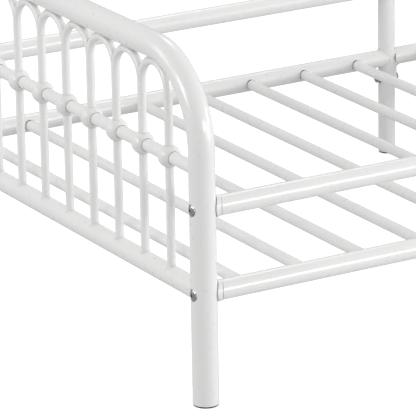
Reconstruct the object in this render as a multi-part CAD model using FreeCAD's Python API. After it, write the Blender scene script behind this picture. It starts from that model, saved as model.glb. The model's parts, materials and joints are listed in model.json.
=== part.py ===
import FreeCAD, Part
import math
import os

# Daybed of welded and bolted round steel tube.
# X runs along the bed, Y across it from front to back, Z up from the floor, all in millimetres.
# The origin lies on the floor in the middle of the bed.

# Overall sizes, measured between tube axes
post_spacing_x = 2000.0      # left end panel to right end panel
post_spacing_y = 1000.0      # front posts to back posts
lower_rail_z = 193.5         # lower side rails, end panels' bottom rails and slats
rail_rise = 145.0            # lower to upper side rails
arm_top_z = 578.5            # end panels' top rail
mid_rail_drop = 178.5        # top rail down to mid rail
bend_radius = 145.0          # arm tube's bends

# Tubes
post_d = 44.0
post_wall = 1.5
rail_d = 34.0
rail_wall = 1.2
leg_d = 33.0
leg_wall = 1.2
mid_rail_d = 21.6
mid_rail_wall = 1.2
spindle_d = 14.6
spindle_wall = 1.0
slat_d = 19.0
slat_wall = 1.0

# End panel infill
spindle_count = 10
spindle_inset = 105.0        # post axis to the first spindle's axis
arch_seat = 1.5              # how deep an arch's crown is notched over by the top rail
ball_d = 39.0
ball_mouth_gap = 0.6         # open ring where the mid rail leaves a ball
ball_mouth_depth = 2.5

# Slats
slats_per_half = 8
slat_inset = 80.0            # post axis or centre leg axis to the nearest slat's axis
slat_end_gap = 0.5           # slat's square end to the lower rail
slat_plug_grip = 15.0        # length of an end plug inside its slat
slat_plug_wall = 2.0
peg_step = 0.4               # plug's peg is this much smaller in radius than the slat
peg_engagement = 6.0         # past the lower rail's inner face
peg_clearance = 0.5          # radial, in the lower rail's hole
peg_rest_gap = 0.3           # radial gap left under a peg that rests in its hole

# Side rails' ends
spacer_thickness = 10.0      # between the post's surface and the rail's coped end
spacer_rim = 1.0             # spacer's radius beyond the rail's
spacer_clearance = 0.3       # to the end panel's bottom rail
groove_width = 1.8           # round the spacer, beside the post
groove_depth = 1.5
seam_width = 0.8             # round the spacer, beside the rail
seam_depth = 2.0
end_plug_length = 12.0
rail_end_setback = 2.0       # welded rail's sides stop this far short of the centre leg's axis

# Joint plates on the right-hand rails
plate_thickness = 3.5
plate_width = 28.0
plate_margin = 1.0           # past the rail, on the side away from the bolt
plate_lip = 15.0             # joint bolt's axis to the plate's end
gusset_size = 11.0
gusset_thickness = 6.0
joint_bolt_gap = 4.5         # gusset's root to the joint bolt's washer

# Centre legs
leg_rise = 10.0              # above the upper joint plates
cap_height = 4.0
cap_plug_length = 14.0

# Glides
glide_thickness = 3.0
glide_edge = 0.8             # glide's rim stands in from the tube's outside
glide_round = 1.2
glide_plug_length = 16.0
glide_plug_wall = 2.0

# Fasteners
bolt_d = 8.0
bolt_hole_clearance = 0.5    # radial
bolt_tail = 2.0              # past the nut or end plug
head_d = 20.0
head_rim = 1.2
head_dome = 3.4
seat_clearance = 0.5         # radial, round a post bolt's head
joint_head_d = 16.0
socket_width = 5.0           # hexagon, across flats
socket_depth = 2.6
washer_d = 17.0
washer_crown = 1.5
nut_width = 13.0             # hexagon, across flats
nut_height = 6.5
nut_chamfer = 30.0           # degrees from the nut's outer face

# Derived places
half_x = post_spacing_x / 2
half_y = post_spacing_y / 2
post_r = post_d / 2
rail_r = rail_d / 2
leg_r = leg_d / 2
mid_rail_r = mid_rail_d / 2
spindle_r = spindle_d / 2
slat_r = slat_d / 2
bolt_r = bolt_d / 2
bolt_hole_r = bolt_r + bolt_hole_clearance
spacer_r = rail_r + spacer_rim
saddle_r = post_r + spacer_thickness
plate_r = leg_r + plate_thickness
plate_back = rail_r + plate_margin
joint_bolt_offset = rail_r + gusset_size + joint_bolt_gap + washer_d / 2
plate_reach = joint_bolt_offset + plate_lip
upper_rail_z = lower_rail_z + rail_rise
leg_top_z = upper_rail_z + plate_reach + leg_rise
mid_rail_z = arm_top_z - mid_rail_drop
rail_end_x = half_x - saddle_r
spindle_pitch = (post_spacing_y - 2 * spindle_inset) / (spindle_count - 1)
arch_r = spindle_pitch / 2
spring_z = arm_top_z - post_r + arch_seat - arch_r - spindle_r
slat_pitch = (half_x - 2 * slat_inset) / (slats_per_half - 1)
slat_z = lower_rail_z - peg_clearance + peg_rest_gap
slat_end_y = half_y - rail_r - slat_end_gap
peg_r = slat_r - peg_step
slat_plug_r = slat_r - slat_wall
peg_end_y = half_y - rail_r + peg_engagement

SIDES = {"left": -1, "right": 1}
ROWS = {"front": -1, "back": 1}
LEVELS = {"lower": lower_rail_z, "upper": upper_rail_z}
ALONG_X = FreeCAD.Vector(1, 0, 0)
ALONG_Z = FreeCAD.Vector(0, 0, 1)


def point(x, y, z):
    return FreeCAD.Vector(x, y, z)


def rod(start, end, radius):
    """Solid round bar between two points."""
    axis = end - start
    return Part.makeCylinder(radius, axis.Length, start, axis)


def tube(start, end, outer_d, wall):
    """Round tube between two points, open at both ends."""
    return rod(start, end, outer_d / 2).cut(rod(start, end, outer_d / 2 - wall))


def box(low, high):
    size = high - low
    return Part.makeBox(size.x, size.y, size.z, low)


def hexagon(start, direction, width, height):
    """Hexagonal prism, its width measured across the flats."""
    corner_r = width / math.sqrt(3)
    turns = [math.radians(60 * step) for step in range(7)]
    corners = [point(corner_r * math.cos(a), corner_r * math.sin(a), 0) for a in turns]
    prism = Part.Face(Part.makePolygon(corners)).extrude(point(0, 0, height))
    prism.Placement = FreeCAD.Placement(start, FreeCAD.Rotation(ALONG_Z, direction))
    return prism


def spindle_ys():
    return [-half_y + spindle_inset + spindle_pitch * step for step in range(spindle_count)]


def slat_xs(side):
    """Slats of one half, from the end panel towards the middle."""
    return [side * (half_x - slat_inset - slat_pitch * step) for step in range(slats_per_half)]


# ---------------------------------------------------------------- end panels

def arm_path(x):
    """Centre line of one arm: up the front post, across the top and down the back post."""
    knee_y = half_y - bend_radius
    knee_z = arm_top_z - bend_radius
    slant = bend_radius * math.sqrt(0.5)
    front_foot = point(x, -half_y, glide_thickness)
    front_knee = point(x, -half_y, knee_z)
    front_mid = point(x, -knee_y - slant, knee_z + slant)
    front_top = point(x, -knee_y, arm_top_z)
    back_top = point(x, knee_y, arm_top_z)
    back_mid = point(x, knee_y + slant, knee_z + slant)
    back_knee = point(x, half_y, knee_z)
    back_foot = point(x, half_y, glide_thickness)
    edges = [
        Part.LineSegment(front_foot, front_knee).toShape(),
        Part.Arc(front_knee, front_mid, front_top).toShape(),
        Part.LineSegment(front_top, back_top).toShape(),
        Part.Arc(back_top, back_mid, back_knee).toShape(),
        Part.LineSegment(back_knee, back_foot).toShape(),
    ]
    return Part.Wire(edges)


def arm_bar(x, radius):
    """Solid bar of the given radius bent along the arm's centre line."""
    ring = Part.Wire([Part.makeCircle(radius, point(x, -half_y, glide_thickness), ALONG_Z)])
    return arm_path(x).makePipeShell([ring], True, True)


def post_bolt_places(side):
    """Outer seat of each post bolt: the post's axis at a side rail's height."""
    return [point(side * half_x, row * half_y, z) for row in ROWS.values() for z in LEVELS.values()]


# The head sits in a round flat that is pressed into the post's outer side.
seat_r = head_d / 2 + seat_clearance
seat_offset = math.sqrt(post_r ** 2 - seat_r ** 2)


def seat_spans(side):
    """Each pressed seat's floor, and a point straight out from it beyond the post."""
    outward = ALONG_X * side
    return [(place + outward * seat_offset, place + outward * (post_r + 1))
            for place in post_bolt_places(side)]


def arm_tube(side, bar):
    """Bent tube with a pressed seat and a through hole for each post bolt."""
    outward = ALONG_X * side
    shape = bar.cut(arm_bar(side * half_x, post_r - post_wall))
    for seat, beyond in seat_spans(side):
        inner_seat = seat - outward * post_wall
        shape = shape.fuse(rod(inner_seat, beyond, seat_r + post_wall).common(bar))
        shape = shape.cut(rod(seat, beyond, seat_r))
        shape = shape.cut(rod(beyond - outward * 2 * (post_r + 1), beyond, bolt_hole_r))
    return shape


def panel_rail(side, z, outer_d, wall, bar):
    """Straight rail across an end panel, coped to both posts and clear of the post bolts' seats."""
    x = side * half_x
    shape = tube(point(x, -half_y, z), point(x, half_y, z), outer_d, wall).cut(bar)
    for seat, beyond in seat_spans(side):
        shape = shape.cut(rod(seat, beyond, seat_r))
    return shape


def rail_core(side, z, radius):
    x = side * half_x
    return rod(point(x, -half_y, z), point(x, half_y, z), radius)


def lower_spindles(side):
    """Spindles between the bottom rail and the mid rail, coped to both."""
    x = side * half_x
    bottom = rail_core(side, lower_rail_z, rail_r)
    middle = rail_core(side, mid_rail_z, mid_rail_r)
    pieces = []
    for y in spindle_ys():
        piece = tube(point(x, y, lower_rail_z), point(x, y, mid_rail_z), spindle_d, spindle_wall)
        pieces.append(piece.cut(bottom).cut(middle))
    return pieces


def upper_spindles(side):
    """Spindles from the mid rail up to the arches' springing line."""
    x = side * half_x
    middle = rail_core(side, mid_rail_z, mid_rail_r)
    pieces = []
    for y in spindle_ys():
        piece = tube(point(x, y, mid_rail_z), point(x, y, spring_z), spindle_d, spindle_wall)
        pieces.append(piece.cut(middle))
    return pieces


def half_ring(x, y, radius):
    """Half torus standing on the springing line, on the spindle pitch."""
    section = Part.Face(Part.Wire([Part.makeCircle(radius, point(x, y + arch_r, spring_z), ALONG_Z)]))
    return section.revolve(point(x, y, spring_z), ALONG_X, 180)


def arches(side, bar):
    """Arches mitred to one another over the spindles and notched under the top rail."""
    x = side * half_x
    reach = spindle_pitch
    pieces = []
    ys = spindle_ys()
    for step in range(spindle_count - 1):
        middle_y = (ys[step] + ys[step + 1]) / 2
        piece = half_ring(x, middle_y, spindle_r).cut(half_ring(x, middle_y, spindle_r - spindle_wall))
        low_y = ys[step] - (reach if step == 0 else 0)
        high_y = ys[step + 1] + (reach if step == spindle_count - 2 else 0)
        space = box(point(x - reach, low_y, spring_z), point(x + reach, high_y, arm_top_z))
        pieces.append(piece.common(space).cut(bar))
    return pieces


def ball_castings(side):
    """Cast balls over the crossings, with an open ring where the mid rail leaves each one."""
    x = side * half_x
    ball_r = ball_d / 2
    middle = rail_core(side, mid_rail_z, mid_rail_r)
    mouth_y = math.sqrt(ball_r ** 2 - mid_rail_r ** 2) - ball_mouth_depth
    pieces = []
    for y in spindle_ys():
        centre = point(x, y, mid_rail_z)
        upright = rod(centre - ALONG_Z * ball_r, centre + ALONG_Z * ball_r, spindle_r)
        piece = Part.makeSphere(ball_r, centre).cut(middle).cut(upright)
        for way in (-1, 1):
            mouth = rod(centre + point(0, way * mouth_y, 0), centre + point(0, way * ball_r, 0),
                        mid_rail_r + ball_mouth_gap)
            piece = piece.cut(mouth)
        pieces.append(piece)
    return pieces


# ---------------------------------------------------------------- side rails

def peg_holes(side, row):
    """Holes in the inner wall of a lower rail, one for each slat's peg."""
    y = row * half_y
    return [rod(point(x, y, lower_rail_z), point(x, y - row * rail_d, lower_rail_z),
                peg_r + peg_clearance) for x in slat_xs(side)]


def post_sleeve(side, row, z, radius):
    """Upright bar on a post's axis, taller than a rail."""
    post = point(side * half_x, row * half_y, z)
    return rod(post - ALONG_Z * rail_d, post + ALONG_Z * rail_d, radius)


def side_rail(side, row, z):
    """Half of a side rail, coped to its spacer and to the centre leg or the joint plate."""
    y = row * half_y
    inner_x = -rail_end_setback if side < 0 else 0
    inner_r = leg_r if side < 0 else plate_r
    shape = tube(point(inner_x, y, z), point(side * half_x, y, z), rail_d, rail_wall)
    shape = shape.cut(rod(point(0, y, z - rail_d), point(0, y, z + rail_d), inner_r))
    shape = shape.cut(post_sleeve(side, row, z, saddle_r))
    if z == lower_rail_z:
        for hole in peg_holes(side, row):
            shape = shape.cut(hole)
    return shape


def post_spacer(side, row, z, bar):
    """Saddle between a post and a rail's end, bored for the post bolt and clear of the bottom rail.

    Both its faces are concentric with the post. A groove runs round it beside the post, and a
    narrower seam beside the rail."""
    post_axis = point(side * half_x, row * half_y, z)
    rail_end = point(side * rail_end_x, row * half_y, z)
    shape = rod(post_axis, rail_end, spacer_r).common(post_sleeve(side, row, z, saddle_r)).cut(bar)
    shape = shape.cut(rail_core(side, lower_rail_z, rail_r + spacer_clearance))
    beside_post = post_sleeve(side, row, z, post_r + groove_width)
    shape = shape.cut(beside_post.cut(rod(post_axis, rail_end, spacer_r - groove_depth)))
    beside_rail = post_sleeve(side, row, z, saddle_r)
    beside_rail = beside_rail.cut(post_sleeve(side, row, z, saddle_r - seam_width))
    shape = shape.cut(beside_rail.cut(rod(post_axis, rail_end, spacer_r - seam_depth)))
    return shape.cut(rod(post_axis, rail_end, bolt_hole_r))


def end_plug(side, row, z):
    """Threaded plug welded flush inside a rail's outer end."""
    start = point(side * half_x, row * half_y, z)
    end = point(side * (rail_end_x - end_plug_length), row * half_y, z)
    shape = rod(start, end, rail_r - rail_wall).cut(post_sleeve(side, row, z, saddle_r))
    return shape.cut(rod(start, end, bolt_r))


# ---------------------------------------------------------------- centre legs

def joint_bolt_zs():
    """Joint bolts pass below the lower rails and above the upper ones."""
    return [lower_rail_z - joint_bolt_offset, upper_rail_z + joint_bolt_offset]


def centre_leg(row):
    y = row * half_y
    shape = tube(point(0, y, glide_thickness), point(0, y, leg_top_z), leg_d, leg_wall)
    for z in joint_bolt_zs():
        shape = shape.cut(rod(point(-leg_d, y, z), point(leg_d, y, z), bolt_hole_r))
    return shape


def joint_plate(row, z):
    """Curved plate on the centre leg that carries a right-hand rail, with a gusset along the rail.

    A lower rail's plate reaches down to its bolt, and an upper rail's is the same turned over."""
    y = row * half_y
    low_z = z - plate_reach
    leg = rod(point(0, y, low_z), point(0, y, z + plate_back), leg_r)
    shell = rod(point(0, y, low_z), point(0, y, z + plate_back), plate_r)
    half_width = plate_width / 2
    front_half = box(point(0, y - half_width, low_z), point(plate_r, y + half_width, z + plate_back))
    side_y = y - gusset_thickness / 2
    end_x = plate_r + gusset_size
    under_z = z - rail_r
    root_z = under_z - gusset_size
    hollow = gusset_size * (1 - math.sqrt(0.5))
    outline = Part.Wire([
        Part.makeLine(point(leg_r, side_y, z), point(end_x, side_y, z)),
        Part.makeLine(point(end_x, side_y, z), point(end_x, side_y, under_z)),
        Part.Arc(point(end_x, side_y, under_z), point(plate_r + hollow, side_y, under_z - hollow),
                 point(plate_r, side_y, root_z)).toShape(),
        Part.makeLine(point(plate_r, side_y, root_z), point(leg_r, side_y, root_z)),
        Part.makeLine(point(leg_r, side_y, root_z), point(leg_r, side_y, z)),
    ])
    web = Part.Face(outline).extrude(point(0, gusset_thickness, 0))
    rail = rod(point(0, y, z), point(half_x, y, z), rail_r)
    web = web.cut(rail)
    shape = shell.common(front_half).fuse(web).cut(leg)
    bolt_z = z - joint_bolt_offset
    shape = shape.cut(rod(point(0, y, bolt_z), point(leg_d, y, bolt_z), bolt_hole_r))
    return shape.mirror(point(0, y, z), ALONG_Z) if z == upper_rail_z else shape


def leg_cap(row):
    """Low domed cap pushed into the top of a centre leg."""
    top = point(0, row * half_y, leg_top_z)
    dome_r = (leg_r ** 2 + cap_height ** 2) / (2 * cap_height)
    dome = Part.makeSphere(dome_r, top + ALONG_Z * (cap_height - dome_r))
    dome = dome.common(rod(top, top + ALONG_Z * cap_height, leg_r))
    return dome.fuse(rod(top - ALONG_Z * cap_plug_length, top, leg_r - leg_wall))


# ---------------------------------------------------------------- fasteners and feet

def domed_head(seat, outward, diameter):
    """Low domed bolt head with a hexagon socket, standing on its seat."""
    head_r = diameter / 2
    height = head_rim + head_dome
    dome_r = (head_r ** 2 + head_dome ** 2) / (2 * head_dome)
    shape = Part.makeSphere(dome_r, seat + outward * (height - dome_r))
    shape = shape.common(rod(seat, seat + outward * height, head_r))
    socket_floor = seat + outward * (height - socket_depth)
    return shape.cut(hexagon(socket_floor, outward, socket_width, height))


def post_bolt(place, side):
    """Bolt through the post and the saddle into the rail's end plug."""
    outward = ALONG_X * side
    seat = place + outward * seat_offset
    tip = point(side * (rail_end_x - end_plug_length - bolt_tail), place.y, place.z)
    return domed_head(seat, outward, head_d).fuse(rod(tip, seat, bolt_r))


def curved_washer(y, z, side, surface_r):
    """Round washer hollowed to sit on an upright tube or curved plate."""
    end = point(side * (surface_r + washer_crown), y, z)
    shape = rod(point(side * leg_r / 2, y, z), end, washer_d / 2)
    shape = shape.cut(rod(point(0, y, z - washer_d), point(0, y, z + washer_d), surface_r))
    return shape.cut(rod(point(0, y, z), end, bolt_hole_r))


def joint_bolt(y, z):
    """Bolt from the plate's side through the centre leg."""
    seat = point(plate_r + washer_crown, y, z)
    tip = point(-(leg_r + washer_crown + nut_height + bolt_tail), y, z)
    return domed_head(seat, ALONG_X, joint_head_d).fuse(rod(tip, seat, bolt_r))


def joint_nut(y, z):
    """Hexagon nut with its outer corners chamfered."""
    start = point(-(leg_r + washer_crown), y, z)
    end = start - ALONG_X * nut_height
    face_r = nut_width / 2
    inner_r = face_r + nut_height / math.tan(math.radians(nut_chamfer))
    shape = hexagon(start, -ALONG_X, nut_width, nut_height)
    shape = shape.common(Part.makeCone(inner_r, face_r, nut_height, start, -ALONG_X))
    return shape.cut(rod(start, end, bolt_r))


def glide(x, y, outer_d, wall):
    """Moulded foot: a rounded flange under the tube and a hollow plug inside it."""
    base = point(x, y, 0)
    top = point(x, y, glide_thickness)
    plug_top = top + ALONG_Z * glide_plug_length
    plug_r = outer_d / 2 - wall
    flange = rod(base, top, outer_d / 2 - glide_edge)
    rim = [edge for edge in flange.Edges if edge.CenterOfMass.z < glide_thickness / 4]
    flange = flange.makeFillet(glide_round, [edge for edge in rim if len(edge.Vertexes) == 1])
    return flange.fuse(rod(top, plug_top, plug_r)).cut(rod(top, plug_top, plug_r - glide_plug_wall))


def slat(x):
    """Square-cut tube across the bed, just clear of the lower rails at its ends."""
    return tube(point(x, -slat_end_y, slat_z), point(x, slat_end_y, slat_z), slat_d, slat_wall)


def slat_plugs(x):
    """Hollow moulded plugs pressed into a slat's ends, with pegs that rest in the lower rails' holes."""
    pieces = []
    for row in ROWS.values():
        inner = point(x, row * (slat_end_y - slat_plug_grip), slat_z)
        face = point(x, row * slat_end_y, slat_z)
        tip = point(x, row * peg_end_y, slat_z)
        piece = rod(inner, face, slat_plug_r).fuse(rod(face, tip, peg_r))
        pieces.append(piece.cut(rod(inner, tip, slat_plug_r - slat_plug_wall)))
    return pieces


# ---------------------------------------------------------------- nodes

def end_panel_nodes(name, side, bar):
    return {
        name + "_arm_tube": [arm_tube(side, bar)],
        name + "_panel_bottom_rail": [panel_rail(side, lower_rail_z, rail_d, rail_wall, bar)],
        name + "_panel_mid_rail": [panel_rail(side, mid_rail_z, mid_rail_d, mid_rail_wall, bar)],
        name + "_lower_spindles": lower_spindles(side),
        name + "_upper_spindles": upper_spindles(side),
        name + "_arches": arches(side, bar),
        name + "_ball_castings": ball_castings(side),
    }


def build_nodes():
    nodes = {"post_spacers": [], "rail_end_plugs": [], "post_bolts": [], "slat_end_plugs": []}
    for side_name, side in SIDES.items():
        bar = arm_bar(side * half_x, post_r)
        nodes.update(end_panel_nodes(side_name, side, bar))
        for row_name, row in ROWS.items():
            nodes[f"{row_name}_{side_name}_glide"] = [glide(side * half_x, row * half_y, post_d, post_wall)]
            for level, z in LEVELS.items():
                nodes[f"{row_name}_{side_name}_{level}_rail"] = [side_rail(side, row, z)]
                nodes["post_spacers"].append(post_spacer(side, row, z, bar))
                nodes["rail_end_plugs"].append(end_plug(side, row, z))
        nodes["post_bolts"] += [post_bolt(place, side) for place in post_bolt_places(side)]
        for step, x in enumerate(slat_xs(side), start=1):
            nodes[f"{side_name}_slat_{step}"] = [slat(x)]
            nodes["slat_end_plugs"] += slat_plugs(x)
    nodes.update({"joint_washers": [], "joint_bolts": [], "joint_nuts": [], "leg_caps": []})
    for row_name, row in ROWS.items():
        y = row * half_y
        nodes[f"{row_name}_centre_leg"] = [centre_leg(row)]
        nodes[f"{row_name}_centre_glide"] = [glide(0, y, leg_d, leg_wall)]
        nodes["leg_caps"].append(leg_cap(row))
        for level, z in LEVELS.items():
            nodes[f"{row_name}_{level}_joint_plate"] = [joint_plate(row, z)]
        for z in joint_bolt_zs():
            nodes["joint_bolts"].append(joint_bolt(y, z))
            nodes["joint_nuts"].append(joint_nut(y, z))
            nodes["joint_washers"] += [curved_washer(y, z, 1, plate_r), curved_washer(y, z, -1, leg_r)]
    return nodes


os.makedirs("parts", exist_ok=True)
for node, solids in build_nodes().items():
    shape = solids[0] if len(solids) == 1 else Part.makeCompound(solids)
    shape.exportStep(f"parts/{node}.step")
    print(node, "solids", len(shape.Solids), "valid", shape.isValid(), "volume", round(shape.Volume, 1))
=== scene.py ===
import json
import math

import bpy
from mathutils import Matrix, Vector, noise


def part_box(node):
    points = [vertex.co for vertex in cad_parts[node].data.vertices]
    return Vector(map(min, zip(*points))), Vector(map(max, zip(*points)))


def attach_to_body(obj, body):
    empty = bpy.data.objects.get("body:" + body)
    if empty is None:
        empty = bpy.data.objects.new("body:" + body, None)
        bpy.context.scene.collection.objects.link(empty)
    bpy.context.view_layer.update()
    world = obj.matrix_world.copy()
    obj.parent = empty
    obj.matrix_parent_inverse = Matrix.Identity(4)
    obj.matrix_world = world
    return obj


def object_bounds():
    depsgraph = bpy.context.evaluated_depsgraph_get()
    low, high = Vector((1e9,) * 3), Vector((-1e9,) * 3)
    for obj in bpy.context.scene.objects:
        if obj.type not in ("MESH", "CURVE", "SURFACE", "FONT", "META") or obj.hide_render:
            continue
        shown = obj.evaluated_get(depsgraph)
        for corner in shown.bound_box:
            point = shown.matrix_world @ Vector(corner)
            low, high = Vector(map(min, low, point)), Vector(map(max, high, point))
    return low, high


# A white tubular daybed on a white studio floor. All lengths are in metres, in the frame of the model.

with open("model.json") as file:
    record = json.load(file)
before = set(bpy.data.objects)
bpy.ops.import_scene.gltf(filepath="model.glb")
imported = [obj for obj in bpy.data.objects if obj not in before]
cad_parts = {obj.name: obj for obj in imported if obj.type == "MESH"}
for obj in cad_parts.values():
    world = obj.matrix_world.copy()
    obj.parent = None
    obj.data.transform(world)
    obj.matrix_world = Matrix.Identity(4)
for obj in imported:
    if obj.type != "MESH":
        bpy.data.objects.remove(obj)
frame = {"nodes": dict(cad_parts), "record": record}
cad_low, cad_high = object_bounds()
nodes = frame["nodes"]

MM = 0.001
X_AXIS, Y_AXIS, Z_AXIS = Vector((1, 0, 0)), Vector((0, 1, 0)), Vector((0, 0, 1))
SIDES = {"left": -1, "right": 1}
ROWS = {"front": -1, "back": 1}
LEVELS = ("lower", "upper")

# Camera
CAMERA_PLACE = Vector((-3.9346, -5.5901, 2.2779))
CAMERA_AZIMUTH = 30.052
CAMERA_ELEVATION = 18.262
CAMERA_ROLL = 1.042
SENSOR_WIDTH = 36.0
LENS = 331.7
VIEW_REACH = 200.0           # far enough for a view from any side

# Sizes of the CAD pieces that can't be read from their boxes
SPINDLE_COUNT = 10
RAIL_SETBACK = 2.0 * MM      # the welded rails' sides stop this far short of the centre leg's axis
PLATE_THICKNESS = 3.5 * MM
BOLT_RADIUS = 4.0 * MM
BOLT_TAIL = 2.0 * MM         # past the nut

# Steps that round lines are drawn in
ROUND_STEPS = 96
CROWN_STEPS = 64
CROWN_HALVINGS = 24          # of the search for each point of an arch's crown line

# Beads
RIPPLE_PITCH = 2.4 * MM
STEPS_PER_RIPPLE = 4
RIPPLE_DEPTH = 0.09
WANDER_DEPTH = 0.12
WANDER_SCALE = 320.0
BEAD_SIDES = 8
END_TAPER = 0.35             # power of the sine that rounds off an open bead's ends
SHORTEST = 1e-9
FOOT_BEAD = 1.0 * MM
TACK_SWELL = 1.5             # share that a spindle's bead grows by at its tack
TACK_SPREAD = 4.0 * MM
CROWN_BEAD = 1.0 * MM
CROWN_REACH = 0.5            # radians along the arch from its crown
CROWN_WRAP = 1.3             # radians round the arch's tube from its top
PANEL_BEAD = 1.5 * MM
LEG_BEAD = 1.3 * MM
NECK_BEAD = 0.9 * MM         # cast lip where a spindle leaves a ball
MOUTH_SHADOW = 0.5 * MM        # radius of the painted shadow line where the mid rail leaves a ball

# Casting's parting line
PARTING_WIDTH = 0.7 * MM
PARTING_RISE = 0.18 * MM
PARTING_STEPS = 14
PARTING_SECTION = ((-1, -1), (-0.5, 1), (0.5, 1), (1, -1))     # across and out of the ball

# Thread on the joint bolts' tails
THREAD_PITCH = 1.25 * MM
THREAD_RIDGE = 0.32 * MM
THREAD_OVERLAP = 0.8
THREAD_STEPS = 28
THREAD_SECTION = ((-0.5, 0), (0, 1), (0.5, 0))     # along and out of the bolt

# Finishes
ALONG = {"x": (0.03, 1, 1), "y": (1, 0.03, 1), "z": (1, 1, 0.03)}      # stretch of the drawing lines
NOISE_LOW, NOISE_HIGH = 0.3, 0.7
# Painted shade: ambient occlusion darkens the coats towards these shades in the corners where pieces meet
CORNER_SHADE = (0.40, 0.395, 0.39)
CORNER_REACH = 12 * MM
CORNER_SAMPLES = 12
OPEN_CORNER = 0.85           # share of open sky at which the painted corner shade fades out
# painted shade in the corners of the castings, darker and reaching further
CAST_SHADE = (0.28, 0.277, 0.272)
CAST_REACH = 18 * MM

# Studio
FLOOR_RADIUS = 70.0
FLOOR_GREY = 0.35            # what the floor throws back onto the bed
FLOOR_GLOW = 0.23
SHEET_GREY = 0.5             # the floor as the camera sees it: a white sheet lit from below
SHEET_GLOW = 0.72
SKY_LEVEL = 0.27             # even part of the surroundings
SKY_LOBES = {"X": 0.17, "Y": 0.3, "Z": 0.38}       # brighter towards the right, the back and above
SKY_LEFT = 0.09
BACKDROP_LEVEL = 1.0
LAMP_DISTANCE = 6.0
# name: elevation and azimuth in degrees (0 is the front, 90 the right), size in metres, watts
SOFTBOXES = {
    "front_low_right": (4, 40, 1.0, 77),
    "front_low": (4, 20, 1.0, 19),
    "front_right": (14, 60, 1.0, 70),
    "front_left": (14, 0, 1.0, 35),
    "front": (14, 20, 1.0, 27),
    "left": (20, 270, 1.8, 64),
    "left_back": (20, 240, 1.8, 27),
    "right_back_high": (50, 150, 1.8, 28),
}


# ---------------------------------------------------------------- places, read from the frame

def middle(node):
    low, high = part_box(node)
    return (low + high) / 2


def half_size(node):
    low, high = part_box(node)
    return (high - low) / 2


def spindle_places(side):
    """Axis of each spindle of an end panel, at the height of the bottom rail's axis."""
    low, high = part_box(side + "_lower_spindles")
    rail = middle(side + "_panel_bottom_rail")
    radius = half_size(side + "_lower_spindles").x
    first, last = low.y + radius, high.y - radius
    pitch = (last - first) / (SPINDLE_COUNT - 1)
    return [Vector((rail.x, first + pitch * step, rail.z)) for step in range(SPINDLE_COUNT)]


# ---------------------------------------------------------------- beads

def add_mesh(name, verts, faces):
    mesh = bpy.data.meshes.new(name)
    mesh.from_pydata(verts, [], faces)
    mesh.polygons.foreach_set("use_smooth", [True] * len(faces))
    mesh.update()
    piece = bpy.data.objects.new(name, mesh)
    bpy.context.scene.collection.objects.link(piece)
    return piece


def resample(line, closed):
    """Points along a line at even steps, a whole number of them for each weld ripple."""
    points = line + [line[0]] if closed else line
    lengths = [0.0]
    for start, end in zip(points, points[1:]):
        lengths.append(lengths[-1] + (end - start).length)
    ripples = max(3, round(lengths[-1] / RIPPLE_PITCH))
    count = ripples * STEPS_PER_RIPPLE
    even = []
    piece = 0
    for step in range(count if closed else count + 1):
        at = min(lengths[-1] * step / count, lengths[-1])
        while piece < len(points) - 2 and lengths[piece + 1] < at:
            piece += 1
        share = (at - lengths[piece]) / max(lengths[piece + 1] - lengths[piece], SHORTEST)
        even.append(points[piece].lerp(points[piece + 1], min(share, 1.0)))
    return even


def bead(verts, faces, line, outward, radius, closed=True, swell=None, rippled=True):
    """Adds a round bead along a line. outward(p) points away from the joint's middle."""
    points = resample(line, closed)
    count = len(points)
    base = len(verts)
    for step, p in enumerate(points):
        before = points[(step - 1) % count] if closed else points[max(step - 1, 0)]
        after = points[(step + 1) % count] if closed else points[min(step + 1, count - 1)]
        tangent = (after - before).normalized()
        side = outward(p)
        side = (side - tangent * side.dot(tangent)).normalized()
        other = tangent.cross(side)
        ripple = RIPPLE_DEPTH * math.cos(2 * math.pi * step / STEPS_PER_RIPPLE) if rippled else 0.0
        wander = 1 + WANDER_DEPTH * noise.noise(p * WANDER_SCALE)
        ends = 1.0 if closed else math.sin(math.pi * (step + 0.5) / count) ** END_TAPER
        size = radius * (1 + ripple) * wander * ends * (swell(p) if swell else 1.0)
        for turn in range(BEAD_SIDES):
            angle = 2 * math.pi * turn / BEAD_SIDES
            verts.append(p + side * size * math.cos(angle) + other * size * math.sin(angle))
    for step in range(count if closed else count - 1):
        here, there = base + step * BEAD_SIDES, base + (step + 1) % count * BEAD_SIDES
        for turn in range(BEAD_SIDES):
            ahead = (turn + 1) % BEAD_SIDES
            faces.append((here + turn, there + turn, there + ahead, here + ahead))
    if not closed:
        faces.append(tuple(base + turn for turn in reversed(range(BEAD_SIDES))))
        last = base + (count - 1) * BEAD_SIDES
        faces.append(tuple(last + turn for turn in range(BEAD_SIDES)))


def ring(centre, across, upright, radius):
    """Circle of points, starting at the first direction and turning towards the second."""
    turns = [2 * math.pi * step / ROUND_STEPS for step in range(ROUND_STEPS)]
    return [centre + across * radius * math.cos(t) + upright * radius * math.sin(t) for t in turns]


def saddle(centre, along, run_axis, branch_r, run_r, least=0.0):
    """Line where a round branch meets a round run that it crosses at a right angle."""
    across = run_axis.cross(along)
    line = []
    for step in range(ROUND_STEPS):
        turn = 2 * math.pi * step / ROUND_STEPS
        off = branch_r * math.cos(turn)
        rise = max(run_r ** 2 - off ** 2, 0.0) ** 0.5
        line.append(centre + across * off + run_axis * branch_r * math.sin(turn)
                    + along * max(rise, least))
    return line


def away_from(centre, along):
    """Direction away from the axis that passes through the centre."""
    def outward(p):
        offset = p - centre
        return offset - along * offset.dot(along)
    return outward


# ---------------------------------------------------------------- welds

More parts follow.
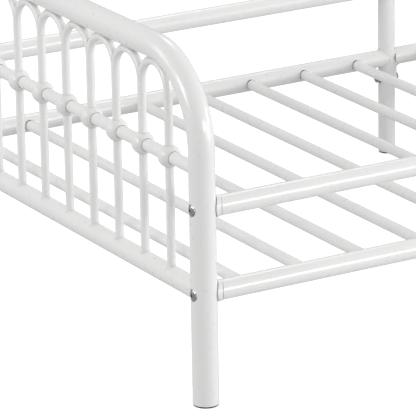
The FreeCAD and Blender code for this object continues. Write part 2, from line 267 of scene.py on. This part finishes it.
def spindle_foot_welds(side, sign):
    """A thin bead round each spindle's foot, swollen into a tack on the panel's outer side."""
    verts, faces = [], []
    rail_r = half_size(side + "_panel_bottom_rail").z
    spindle_r = half_size(side + "_lower_spindles").x
    for place in spindle_places(side):
        line = saddle(place, Z_AXIS, Y_AXIS, spindle_r, rail_r)
        tack = place + X_AXIS * sign * spindle_r + Z_AXIS * (rail_r ** 2 - spindle_r ** 2) ** 0.5

        def swell(p, tack=tack):
            return 1 + TACK_SWELL * math.exp(-((p - tack).length / TACK_SPREAD) ** 2)

        bead(verts, faces, line, away_from(place, Z_AXIS), FOOT_BEAD, swell=swell)
    return add_mesh(side + "_spindle_foot_welds", verts, faces)


def crown_line(crown, arch_r, tube_r, run_centre_z, run_r):
    """Closed line where an arch's crown is notched over by the top rail."""
    def surface(turn, share):
        along = CROWN_REACH * share * math.cos(turn)
        round_tube = CROWN_WRAP * share * math.sin(turn)
        reach = arch_r + tube_r * math.cos(round_tube)
        return crown + Vector((tube_r * math.sin(round_tube), reach * math.sin(along),
                               reach * math.cos(along)))

    line = []
    for step in range(CROWN_STEPS):
        turn = 2 * math.pi * step / CROWN_STEPS
        low, high = 0.0, 1.0
        for _ in range(CROWN_HALVINGS):
            share = (low + high) / 2
            p = surface(turn, share)
            inside = math.hypot(p.x - crown.x, p.z - run_centre_z) < run_r
            low, high = (share, high) if inside else (low, share)
        line.append(surface(turn, low))
    return line


def crown_welds(side):
    """Thin bead round the contact of each arch with the top rail."""
    verts, faces = [], []
    spring_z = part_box(side + "_arches")[0].z
    tube_r = half_size(side + "_arches").x
    post_r = half_size(side + "_arm_tube").x
    run_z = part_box(side + "_arm_tube")[1].z - post_r
    places = spindle_places(side)
    for here, there in zip(places, places[1:]):
        arch_r = (there.y - here.y) / 2
        spring = Vector((here.x, (here.y + there.y) / 2, spring_z))
        line = crown_line(spring, arch_r, tube_r, run_z, post_r)
        bead(verts, faces, line, away_from(spring, Z_AXIS), CROWN_BEAD)
    return add_mesh(side + "_arch_crown_welds", verts, faces)


def panel_rail_welds(side):
    """Beads where the two cross rails of an end panel meet the posts."""
    verts, faces = [], []
    post_r = half_size(side + "_arm_tube").x
    post_y = half_size(side + "_arm_tube").y - post_r
    for rail in ("_panel_bottom_rail", "_panel_mid_rail"):
        centre = middle(side + rail)
        radius = half_size(side + rail).z
        for row in ROWS.values():
            post = Vector((centre.x, row * post_y, centre.z))
            line = saddle(post, Y_AXIS * -row, Z_AXIS, radius, post_r)
            bead(verts, faces, line, away_from(post, Y_AXIS), PANEL_BEAD)
    return add_mesh(side + "_panel_rail_welds", verts, faces)


def centre_leg_welds(row_name):
    """Beads where the left-hand rails are welded to a centre leg."""
    verts, faces = [], []
    leg = middle(row_name + "_centre_leg")
    leg_r = half_size(row_name + "_centre_leg").x
    for level in LEVELS:
        rail = f"{row_name}_left_{level}_rail"
        place = Vector((leg.x, leg.y, middle(rail).z))
        line = saddle(place, -X_AXIS, Z_AXIS, half_size(rail).z, leg_r, least=RAIL_SETBACK)
        bead(verts, faces, line, away_from(place, X_AXIS), LEG_BEAD)
    return add_mesh(row_name + "_centre_leg_welds", verts, faces)


def plate_welds(row_name):
    """Beads over and under the right-hand rails, where they are welded to their joint plates."""
    verts, faces = [], []
    leg = middle(row_name + "_centre_leg")
    face_r = half_size(row_name + "_centre_leg").x + PLATE_THICKNESS
    for level in LEVELS:
        rail = f"{row_name}_right_{level}_rail"
        place = Vector((leg.x, leg.y, middle(rail).z))
        half_width = half_size(f"{row_name}_{level}_joint_plate").y
        line = saddle(place, X_AXIS, Z_AXIS, half_size(rail).z, face_r)
        for upward in (1, -1):
            stretch = [p for p in line
                       if (p.z - place.z) * upward > 0 and abs(p.y - place.y) < half_width]
            stretch.sort(key=lambda p: p.y)
            bead(verts, faces, stretch, away_from(place, X_AXIS), LEG_BEAD, closed=False)
    return add_mesh(row_name + "_plate_welds", verts, faces)


# ---------------------------------------------------------------- cast and threaded details

def strip_faces(faces, base, steps, points):
    """Faces between neighbouring sections of a strip, each of so many points."""
    for step in range(steps):
        for edge in range(points - 1):
            here = base + step * points + edge
            faces.append((here, here + 1, here + points + 1, here + points))


def ball_centres(side):
    height = middle(side + "_panel_mid_rail").z
    return [Vector((place.x, place.y, height)) for place in spindle_places(side)]


def ball_rings(name, side, along, upright, bar_r, bead_r, inset=0.0):
    """Plain bead round a bar, at both places where it leaves each ball."""
    verts, faces = [], []
    ball_r = half_size(side + "_ball_castings").x
    reach = (ball_r ** 2 - bar_r ** 2) ** 0.5 - inset
    for centre in ball_centres(side):
        for way in (1, -1):
            mouth = centre + along * way * reach
            line = ring(mouth, X_AXIS, upright, bar_r)
            bead(verts, faces, line, away_from(mouth, along), bead_r, rippled=False)
    return add_mesh(side + name, verts, faces)


def ball_lips(side):
    """Low cast lip round the spindle at the top and the bottom of each ball."""
    spindle_r = half_size(side + "_lower_spindles").x
    return ball_rings("_ball_lips", side, Z_AXIS, Y_AXIS, spindle_r, NECK_BEAD)


def ball_mouth_shadow(side):
    """Thin dark line in the open mouths where the mid rail leaves each ball: painted shadow of the gap."""
    rail_r = half_size(side + "_panel_mid_rail").z
    return ball_rings("_ball_mouth_shadow", side, Y_AXIS, Z_AXIS, rail_r, MOUTH_SHADOW, inset=MOUTH_SHADOW)


def ball_parting_lines(side):
    """Fine raised line round each ball where the two halves of its mould met."""
    verts, faces = [], []
    ball_r = half_size(side + "_ball_castings").x
    spindle_r = half_size(side + "_lower_spindles").x
    rail_r = half_size(side + "_panel_mid_rail").z
    first = math.asin(rail_r / ball_r) + 2 * PARTING_WIDTH / ball_r
    last = math.acos(spindle_r / ball_r) - 2 * PARTING_WIDTH / ball_r
    for centre in ball_centres(side):
        for way_y in (1, -1):
            for way_z in (1, -1):
                base = len(verts)
                for step in range(PARTING_STEPS + 1):
                    turn = first + (last - first) * step / PARTING_STEPS
                    out = Vector((0, way_y * math.cos(turn), way_z * math.sin(turn)))
                    for off, rise in PARTING_SECTION:
                        spot = centre + out * (ball_r + rise * PARTING_RISE)
                        verts.append(spot + X_AXIS * off * PARTING_WIDTH / 2)
                strip_faces(faces, base, PARTING_STEPS, len(PARTING_SECTION))
    return add_mesh(side + "_ball_parting_lines", verts, faces)


def bolt_threads():
    """Helical thread on the tail of each joint bolt, past its nut."""
    verts, faces = [], []
    tip_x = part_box("joint_bolts")[0].x
    nut_low, nut_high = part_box("joint_nuts")
    nut_half = (nut_high.y - nut_low.y) / 2 - middle("back_centre_leg").y
    nut_half_z = nut_half / math.cos(math.pi / 6)      # the hexagon stands on a corner
    steps = round(BOLT_TAIL / THREAD_PITCH * THREAD_STEPS)
    for row_name in ROWS:
        leg = middle(row_name + "_centre_leg")
        for z in (nut_low.z + nut_half_z, nut_high.z - nut_half_z):
            base = len(verts)
            for step in range(steps + 1):
                turn = 2 * math.pi * step / THREAD_STEPS
                spot = Vector((tip_x + BOLT_TAIL * step / steps, leg.y, z))
                around = Vector((0, math.cos(turn), math.sin(turn)))
                for off, rise in THREAD_SECTION:
                    verts.append(spot + X_AXIS * off * THREAD_PITCH * THREAD_OVERLAP
                                 + around * (BOLT_RADIUS + rise * THREAD_RIDGE))
            strip_faces(faces, base, steps, len(THREAD_SECTION))
    return add_mesh("joint_bolt_threads", verts, faces)


# ---------------------------------------------------------------- materials

class Look:
    """A material and the nodes that most of the finishes share."""

    def __init__(self, name, colour, roughness):
        self.material = bpy.data.materials.new(name)
        self.material.use_nodes = True
        self.tree = self.material.node_tree
        self.shader = self.tree.nodes["Principled BSDF"]
        self.shader.inputs["Base Color"].default_value = (*colour, 1)
        self.shader.inputs["Roughness"].default_value = roughness
        self.place = self.tree.nodes.new("ShaderNodeTexCoord").outputs["Object"]

    def link(self, output, node, name):
        self.tree.links.new(output, node.inputs[name])

    def noise(self, scale, detail=2.0, stretch=(1, 1, 1)):
        """Noise over the object's own space, in features per metre."""
        mapping = self.tree.nodes.new("ShaderNodeMapping")
        mapping.inputs["Scale"].default_value = stretch
        self.link(self.place, mapping, "Vector")
        node = self.tree.nodes.new("ShaderNodeTexNoise")
        node.inputs["Scale"].default_value = scale
        node.inputs["Detail"].default_value = detail
        self.link(mapping.outputs["Vector"], node, "Vector")
        return node.outputs["Fac"]

    def spread(self, value, low, high):
        """Maps the middle of a noise onto a range of values."""
        node = self.tree.nodes.new("ShaderNodeMapRange")
        node.inputs["From Min"].default_value = NOISE_LOW
        node.inputs["From Max"].default_value = NOISE_HIGH
        node.inputs["To Min"].default_value = low
        node.inputs["To Max"].default_value = high
        self.link(value, node, "Value")
        return node.outputs["Result"]

    def shades(self, value, first, second):
        """A colour between two shades."""
        ramp = self.tree.nodes.new("ShaderNodeValToRGB")
        ramp.color_ramp.elements[0].position = NOISE_LOW
        ramp.color_ramp.elements[0].color = (*first, 1)
        ramp.color_ramp.elements[1].position = NOISE_HIGH
        ramp.color_ramp.elements[1].color = (*second, 1)
        self.link(value, ramp, "Fac")
        return ramp.outputs["Color"]

    def tint(self, value, first, second):
        """Colours the surface between two shades."""
        self.link(self.shades(value, first, second), self.shader, "Base Color")

    def paint_corner_shade(self, colour, painted_shade, reach, openness):
        """Painted shade: darkens the colour towards the given shade in the corners where pieces meet, found
        by ambient occlusion.
        """
        corners = self.tree.nodes.new("ShaderNodeAmbientOcclusion")
        corners.samples = CORNER_SAMPLES
        corners.inputs["Distance"].default_value = reach
        ramp = self.tree.nodes.new("ShaderNodeValToRGB")
        ramp.color_ramp.elements[0].position = 0.0
        ramp.color_ramp.elements[0].color = (*painted_shade, 1)
        ramp.color_ramp.elements[1].position = openness
        ramp.color_ramp.elements[1].color = (1, 1, 1, 1)
        self.link(corners.outputs["AO"], ramp, "Fac")
        mix = self.tree.nodes.new("ShaderNodeVectorMath")
        mix.operation = "MULTIPLY"
        self.tree.links.new(colour, mix.inputs[0])
        self.tree.links.new(ramp.outputs["Color"], mix.inputs[1])
        self.link(mix.outputs["Vector"], self.shader, "Base Color")

    def bump(self, value, height, strength=1.0, under=None):
        node = self.tree.nodes.new("ShaderNodeBump")
        node.inputs["Distance"].default_value = height
        node.inputs["Strength"].default_value = strength
        self.link(value, node, "Height")
        if under is not None:
            self.link(under, node, "Normal")
        self.link(node.outputs["Normal"], self.shader, "Normal")
        return node.outputs["Normal"]

    def roughness(self, value, low, high):
        self.link(self.spread(value, low, high), self.shader, "Roughness")

    def clear_coat(self, weight, roughness):
        self.shader.inputs["Coat Weight"].default_value = weight
        self.shader.inputs["Coat Roughness"].default_value = roughness


def white_coat(name, along, corner_shaded=True):
    """Glossy powder coat: orange peel over the faint drawing lines of the tube."""
    look = Look(name, (0.86, 0.856, 0.85), 0.3)
    unshaded = look.shades(look.noise(6), (0.852, 0.849, 0.846), (0.872, 0.867, 0.859))
    if corner_shaded:
        # painted shade in the corners, on every white coat but the arms'
        look.paint_corner_shade(unshaded, CORNER_SHADE, CORNER_REACH, OPEN_CORNER)
    else:
        look.link(unshaded, look.shader, "Base Color")
    lines = look.noise(420, 2, ALONG[along])
    under = look.bump(lines, 0.02 * MM, 0.5)
    look.bump(look.noise(650, 1), 0.022 * MM, 0.5, under)
    look.roughness(look.noise(90, 3), 0.26, 0.36)
    look.clear_coat(0.6, 0.08)
    return look.material


def white_casting():
    """The same coat over the slightly uneven skin of a casting."""
    look = Look("white_casting", (0.85, 0.85, 0.845), 0.34)
    unshaded = look.shades(look.noise(40), (0.836, 0.833, 0.829), (0.868, 0.862, 0.853))
    # painted shade in the corners
    look.paint_corner_shade(unshaded, CAST_SHADE, CAST_REACH, OPEN_CORNER)
    under = look.bump(look.noise(240, 2), 0.18 * MM, 0.6)
    look.bump(look.noise(700, 1), 0.06 * MM, 0.6, under)
    look.roughness(look.noise(120, 2), 0.28, 0.42)
    look.clear_coat(0.5, 0.12)
    return look.material


def white_plastic():
    """Moulded cap or saddle, smoother and a little brighter than the coat."""
    look = Look("white_plastic", (0.88, 0.88, 0.88), 0.3)
    unshaded = look.shades(look.noise(60), (0.87, 0.872, 0.876), (0.888, 0.888, 0.886))
    # painted shade in the corners
    look.paint_corner_shade(unshaded, CORNER_SHADE, CORNER_REACH, OPEN_CORNER)
    look.bump(look.noise(1500, 1), 0.02 * MM, 0.4)
    look.roughness(look.noise(200, 2), 0.24, 0.34)
    return look.material


def zinc():
    """Bright zinc plate with soft clouds and fine scratches."""
    look = Look("zinc", (0.5, 0.51, 0.52), 0.25)
    look.shader.inputs["Metallic"].default_value = 1.0
    look.tint(look.noise(300, 3), (0.24, 0.245, 0.25), (0.52, 0.52, 0.515))
    under = look.bump(look.noise(1800, 2, (1, 0.1, 1)), 0.02 * MM, 0.5)
    look.bump(look.noise(500, 2), 0.04 * MM, 0.4, under)
    look.roughness(look.noise(700, 2), 0.16, 0.36)
    return look.material


def painted_shade():
    """Dull dark grey painted shadow, uneven along its line."""
    look = Look("painted_mouth_shadow", (0.2, 0.2, 0.195), 0.9)
    look.tint(look.noise(120, 2), (0.14, 0.14, 0.135), (0.3, 0.3, 0.29))
    return look.material


def black_plastic():
    """Fine moulded grain, in a slightly uneven black."""
    look = Look("black_plastic", (0.02, 0.02, 0.022), 0.5)
    look.tint(look.noise(260, 3), (0.014, 0.014, 0.016), (0.035, 0.035, 0.036))
    look.bump(look.noise(2600, 1), 0.05 * MM, 0.6)
    look.roughness(look.noise(500, 2), 0.42, 0.6)
    return look.material


def coat_of(name):
    """Which white coat a piece has: by the axis its tubes mostly run along, or one without painted corner
    shade on the arms.
    """
    if name.endswith("_arm_tube"):
        return "unshaded"
    if "slat" in name or "_panel_" in name:
        return "y"
    if name.endswith("_rail"):
        return "x"
    return "z"


def finish_frame():
    """Gives every CAD node the finish of its material slot."""
    coats = {along: white_coat("white_coat_" + along, along) for along in ALONG}
    coats["unshaded"] = white_coat("white_coat_unshaded", "z", corner_shaded=False)
    finishes = {"white_casting": white_casting(), "white_plastic": white_plastic(),
                "zinc": zinc(), "black_plastic": black_plastic()}
    slots = {part["node"]: part["material_slot"] for part in frame["record"]["subparts"]}
    for name, node in nodes.items():
        slot = slots[name]
        material = coats[coat_of(name)] if slot == "white_coat" else finishes[slot]
        if not node.material_slots:
            node.data.materials.append(material)
        for place in node.material_slots:
            place.material = material
    finishes["white_coat"] = coats["unshaded"]
    return finishes


# ---------------------------------------------------------------- studio

def make_camera():
    azimuth = math.radians(CAMERA_AZIMUTH)
    elevation = math.radians(CAMERA_ELEVATION)
    roll = math.radians(CAMERA_ROLL)
    ahead = Vector((math.sin(azimuth) * math.cos(elevation), math.cos(azimuth) * math.cos(elevation),
                    -math.sin(elevation)))
    level = Vector((math.cos(azimuth), -math.sin(azimuth), 0))
    upright = level.cross(ahead)
    right = level * math.cos(roll) - upright * math.sin(roll)
    up = level * math.sin(roll) + upright * math.cos(roll)
    turned = Matrix((right, up, -ahead)).transposed().to_4x4()
    data = bpy.data.cameras.new("camera")
    data.sensor_width = SENSOR_WIDTH
    data.lens = LENS
    data.clip_end = VIEW_REACH
    camera = bpy.data.objects.new("camera", data)
    camera.matrix_world = Matrix.Translation(CAMERA_PLACE) @ turned
    bpy.context.scene.collection.objects.link(camera)
    bpy.context.scene.camera = camera


def seen_or_lit(tree, lit, seen, out):
    """Uses one shader for what lights the bed and another for what the camera sees."""
    path = tree.nodes.new("ShaderNodeLightPath")
    mix = tree.nodes.new("ShaderNodeMixShader")
    tree.links.new(path.outputs["Is Camera Ray"], mix.inputs["Fac"])
    tree.links.new(lit, mix.inputs[1])
    tree.links.new(seen, mix.inputs[2])
    tree.links.new(mix.outputs["Shader"], tree.nodes[out].inputs["Surface"])


def make_floor():
    rim = ring(Vector((0, 0, 0)), X_AXIS, Y_AXIS, FLOOR_RADIUS)
    floor = add_mesh("studio_floor", rim, [tuple(range(len(rim)))])
    material = bpy.data.materials.new("studio_floor")
    material.use_nodes = True
    tree = material.node_tree
    around = tree.nodes["Principled BSDF"]
    sheet = tree.nodes.new("ShaderNodeBsdfPrincipled")
    for shader, grey, glow in ((around, FLOOR_GREY, FLOOR_GLOW), (sheet, SHEET_GREY, SHEET_GLOW)):
        shader.inputs["Base Color"].default_value = (grey, grey, grey, 1)
        shader.inputs["Roughness"].default_value = 1.0
        shader.inputs["Specular IOR Level"].default_value = 0.0
        shader.inputs["Emission Color"].default_value = (1, 1, 1, 1)
        shader.inputs["Emission Strength"].default_value = glow
    seen_or_lit(tree, around.outputs["BSDF"], sheet.outputs["BSDF"], "Material Output")
    floor.data.materials.append(material)


def make_world():
    """White backdrop; as a light it is brighter above, behind and to the right."""
    world = bpy.data.worlds.new("studio")
    world.use_nodes = True
    bpy.context.scene.world = world
    tree = world.node_tree

    def maths(operation, first, second):
        node = tree.nodes.new("ShaderNodeMath")
        node.operation = operation
        tree.links.new(first, node.inputs[0])
        if isinstance(second, float):
            node.inputs[1].default_value = second
        else:
            tree.links.new(second, node.inputs[1])
        return node.outputs["Value"]

    direction = tree.nodes.new("ShaderNodeTexCoord")
    split = tree.nodes.new("ShaderNodeSeparateXYZ")
    tree.links.new(direction.outputs["Generated"], split.inputs["Vector"])
    leftward = maths("MULTIPLY", split.outputs["X"], -SKY_LEFT)
    level = maths("MAXIMUM", leftward, 0.0)
    for axis, strength in SKY_LOBES.items():
        lobe = maths("MULTIPLY", maths("MAXIMUM", split.outputs[axis], 0.0), strength)
        level = maths("ADD", level, lobe)
    level = maths("ADD", level, SKY_LEVEL)
    sky = tree.nodes["Background"]
    tree.links.new(level, sky.inputs["Strength"])
    sky.inputs["Color"].default_value = (1, 1, 1, 1)
    backdrop = tree.nodes.new("ShaderNodeBackground")
    backdrop.inputs["Strength"].default_value = BACKDROP_LEVEL
    backdrop.inputs["Color"].default_value = (1, 1, 1, 1)
    seen_or_lit(tree, sky.outputs["Background"], backdrop.outputs["Background"], "World Output")


def make_softboxes():
    """Square area lights that face the middle of the bed."""
    centre = (cad_low + cad_high) / 2
    for name, (elevation, azimuth, size, watts) in SOFTBOXES.items():
        rise, turn = math.radians(elevation), math.radians(azimuth)
        towards = Vector((math.sin(turn) * math.cos(rise), -math.cos(turn) * math.cos(rise), math.sin(rise)))
        light = bpy.data.lights.new(name, "AREA")
        light.shape = "SQUARE"
        light.size = size
        light.energy = watts
        lamp = bpy.data.objects.new(name, light)
        lamp.location = centre + towards * LAMP_DISTANCE
        lamp.rotation_mode = "QUATERNION"
        lamp.rotation_quaternion = towards.to_track_quat("Z", "Y")
        bpy.context.scene.collection.objects.link(lamp)


# ---------------------------------------------------------------- assembly

def attach(piece, material):
    """Puts a Blender piece on the bed's body, with the given material."""
    piece.data.materials.append(material)
    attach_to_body(piece, "root")


def main():
    finishes = finish_frame()
    mouth_shadow_material = painted_shade()
    for side, sign in SIDES.items():
        for weld in (spindle_foot_welds(side, sign), crown_welds(side), panel_rail_welds(side)):
            attach(weld, finishes["white_coat"])
        for detail in (ball_lips(side), ball_parting_lines(side)):
            attach(detail, finishes["white_casting"])
        # dark painted shadow line in each ball's mouth
        attach(ball_mouth_shadow(side), mouth_shadow_material)
    for row_name in ROWS:
        for weld in (centre_leg_welds(row_name), plate_welds(row_name)):
            attach(weld, finishes["white_coat"])
    attach(bolt_threads(), finishes["zinc"])
    make_camera()
    make_floor()
    make_world()
    make_softboxes()
    bpy.context.scene.view_settings.view_transform = "Standard"


main()
